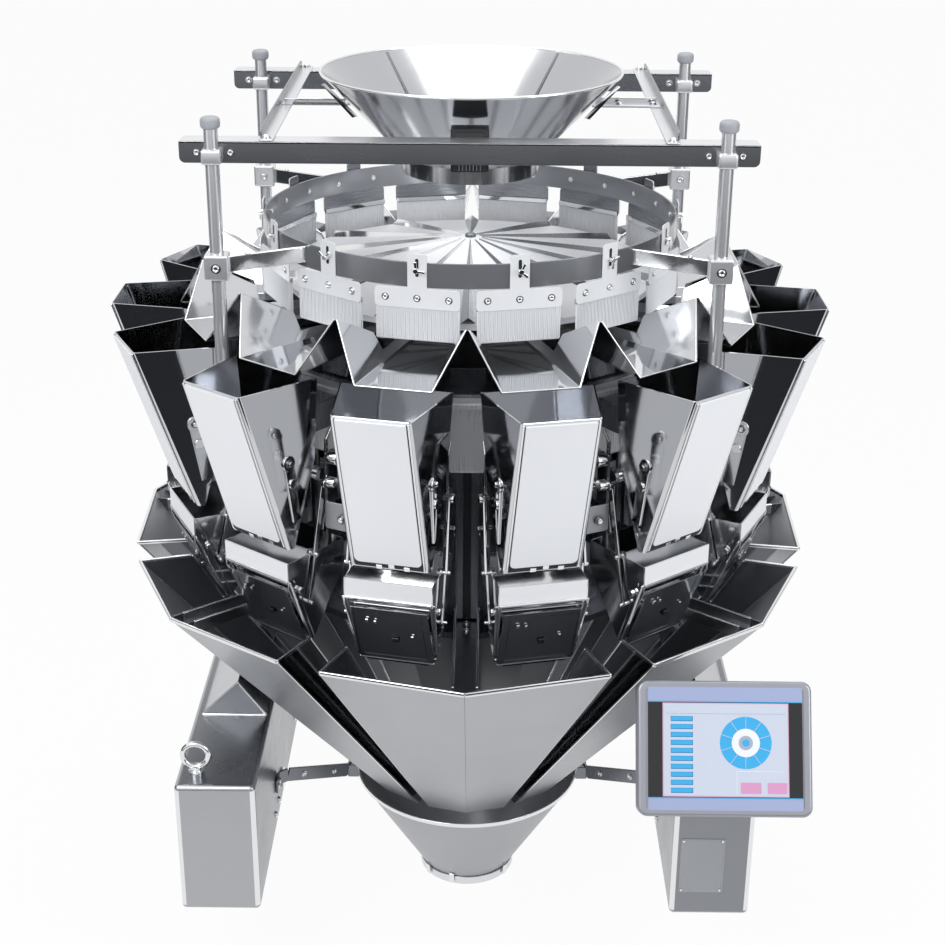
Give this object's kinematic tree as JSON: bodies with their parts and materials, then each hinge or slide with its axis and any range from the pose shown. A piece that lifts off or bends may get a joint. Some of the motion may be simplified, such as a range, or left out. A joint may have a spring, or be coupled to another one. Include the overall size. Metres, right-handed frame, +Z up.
{
  "type": "multihead weigher",
  "caption": "Round combination weigher: funnel, cone and radial pans feed rings of feed and weigh hoppers, whose gates drop product down folded chutes.",
  "frame": {"origin": "centre of the left base box's underside, which stands on the platform", "axes": "+X to the machine's right, +Y to its back, +Z up; the screen faces -Y"},
  "size_m": [1.12, 1.1409, 1.426],
  "materials": {
    "satin_steel": "satin stainless sheet",
    "polished_steel": "bright polished stainless",
    "dark_steel": "darker satin stainless",
    "panel_paint": "satin lilac grey"
  },
  "bodies": {
    "machine": {"base_left": "satin_steel", "base_right": "satin_steel", "drive_housing": "dark_steel", "drum": "polished_steel", "feeders": "satin_steel", "dispersion_cone": "polished_steel", "feed_hopper_01": "satin_steel", "feed_hopper_02": "satin_steel", "feed_hopper_03": "satin_steel", "feed_hopper_04": "satin_steel", "feed_hopper_05": "satin_steel", "feed_hopper_06": "satin_steel", "feed_hopper_07": "satin_steel", "feed_hopper_08": "satin_steel", "feed_hopper_09": "satin_steel", "feed_hopper_10": "satin_steel", "feed_hopper_11": "satin_steel", "feed_hopper_12": "satin_steel", "feed_hopper_13": "satin_steel", "feed_hopper_14": "satin_steel", "weigh_hopper_01": "polished_steel", "weigh_hopper_02": "polished_steel", "weigh_hopper_03": "polished_steel", "weigh_hopper_04": "polished_steel", "weigh_hopper_05": "polished_steel", "weigh_hopper_06": "polished_steel", "weigh_hopper_07": "polished_steel", "weigh_hopper_08": "polished_steel", "weigh_hopper_09": "polished_steel", "weigh_hopper_10": "polished_steel", "weigh_hopper_11": "polished_steel", "weigh_hopper_12": "polished_steel", "weigh_hopper_13": "polished_steel", "weigh_hopper_14": "polished_steel", "chute_1": "satin_steel", "chute_2": "satin_steel", "chute_3": "satin_steel", "chute_4": "satin_steel", "chute_5": "satin_steel", "chute_6": "satin_steel", "chute_7": "satin_steel", "discharge_cone": "satin_steel", "overhead_frame": "satin_steel", "infeed_funnel": "polished_steel", "brush_ring": "polished_steel", "control_panel": "panel_paint"},
    "weigh_gate_01": {"weigh_gate_01": "polished_steel"},
    "weigh_gate_02": {"weigh_gate_02": "polished_steel"},
    "weigh_gate_03": {"weigh_gate_03": "polished_steel"},
    "weigh_gate_04": {"weigh_gate_04": "polished_steel"},
    "weigh_gate_05": {"weigh_gate_05": "polished_steel"},
    "weigh_gate_06": {"weigh_gate_06": "polished_steel"},
    "weigh_gate_07": {"weigh_gate_07": "polished_steel"},
    "weigh_gate_08": {"weigh_gate_08": "polished_steel"},
    "weigh_gate_09": {"weigh_gate_09": "polished_steel"},
    "weigh_gate_10": {"weigh_gate_10": "polished_steel"},
    "weigh_gate_11": {"weigh_gate_11": "polished_steel"},
    "weigh_gate_12": {"weigh_gate_12": "polished_steel"},
    "weigh_gate_13": {"weigh_gate_13": "polished_steel"},
    "weigh_gate_14": {"weigh_gate_14": "polished_steel"}
  },
  "joints": [
    {"name": "weigh_gate_01_hinge", "type": "hinge", "parent": "machine", "child": "weigh_gate_01", "pos_m": [0.49314, -0.45627, 0.592], "axis": [-0.9749, -0.2225, 0], "range_deg": [0, 50]},
    {"name": "weigh_gate_02_hinge", "type": "hinge", "parent": "machine", "child": "weigh_gate_02", "pos_m": [0.68079, -0.3659, 0.592], "axis": [-0.7818, -0.6235, 0], "range_deg": [0, 50]},
    {"name": "weigh_gate_03_hinge", "type": "hinge", "parent": "machine", "child": "weigh_gate_03", "pos_m": [0.81065, -0.20306, 0.592], "axis": [-0.4339, -0.901, 0], "range_deg": [0, 50]},
    {"name": "weigh_gate_04_hinge", "type": "hinge", "parent": "machine", "child": "weigh_gate_04", "pos_m": [0.857, 0, 0.592], "axis": [0, -1, 0], "range_deg": [0, 50]},
    {"name": "weigh_gate_05_hinge", "type": "hinge", "parent": "machine", "child": "weigh_gate_05", "pos_m": [0.81065, 0.20306, 0.592], "axis": [0.4339, -0.901, 0], "range_deg": [0, 50]},
    {"name": "weigh_gate_06_hinge", "type": "hinge", "parent": "machine", "child": "weigh_gate_06", "pos_m": [0.68079, 0.3659, 0.592], "axis": [0.7818, -0.6235, 0], "range_deg": [0, 50]},
    {"name": "weigh_gate_07_hinge", "type": "hinge", "parent": "machine", "child": "weigh_gate_07", "pos_m": [0.49314, 0.45627, 0.592], "axis": [0.9749, -0.2225, 0], "range_deg": [0, 50]},
    {"name": "weigh_gate_08_hinge", "type": "hinge", "parent": "machine", "child": "weigh_gate_08", "pos_m": [0.28486, 0.45627, 0.592], "axis": [0.9749, 0.2225, 0], "range_deg": [0, 50]},
    {"name": "weigh_gate_09_hinge", "type": "hinge", "parent": "machine", "child": "weigh_gate_09", "pos_m": [0.09721, 0.3659, 0.592], "axis": [0.7818, 0.6235, 0], "range_deg": [0, 50]},
    {"name": "weigh_gate_10_hinge", "type": "hinge", "parent": "machine", "child": "weigh_gate_10", "pos_m": [-0.03265, 0.20306, 0.592], "axis": [0.4339, 0.901, 0], "range_deg": [0, 50]},
    {"name": "weigh_gate_11_hinge", "type": "hinge", "parent": "machine", "child": "weigh_gate_11", "pos_m": [-0.079, 0, 0.592], "axis": [0, 1, 0], "range_deg": [0, 50]},
    {"name": "weigh_gate_12_hinge", "type": "hinge", "parent": "machine", "child": "weigh_gate_12", "pos_m": [-0.03265, -0.20306, 0.592], "axis": [-0.4339, 0.901, 0], "range_deg": [0, 50]},
    {"name": "weigh_gate_13_hinge", "type": "hinge", "parent": "machine", "child": "weigh_gate_13", "pos_m": [0.09721, -0.3659, 0.592], "axis": [-0.7818, 0.6235, 0], "range_deg": [0, 50]},
    {"name": "weigh_gate_14_hinge", "type": "hinge", "parent": "machine", "child": "weigh_gate_14", "pos_m": [0.28486, -0.45627, 0.592], "axis": [-0.9749, 0.2225, 0], "range_deg": [0, 50]}
  ]
}
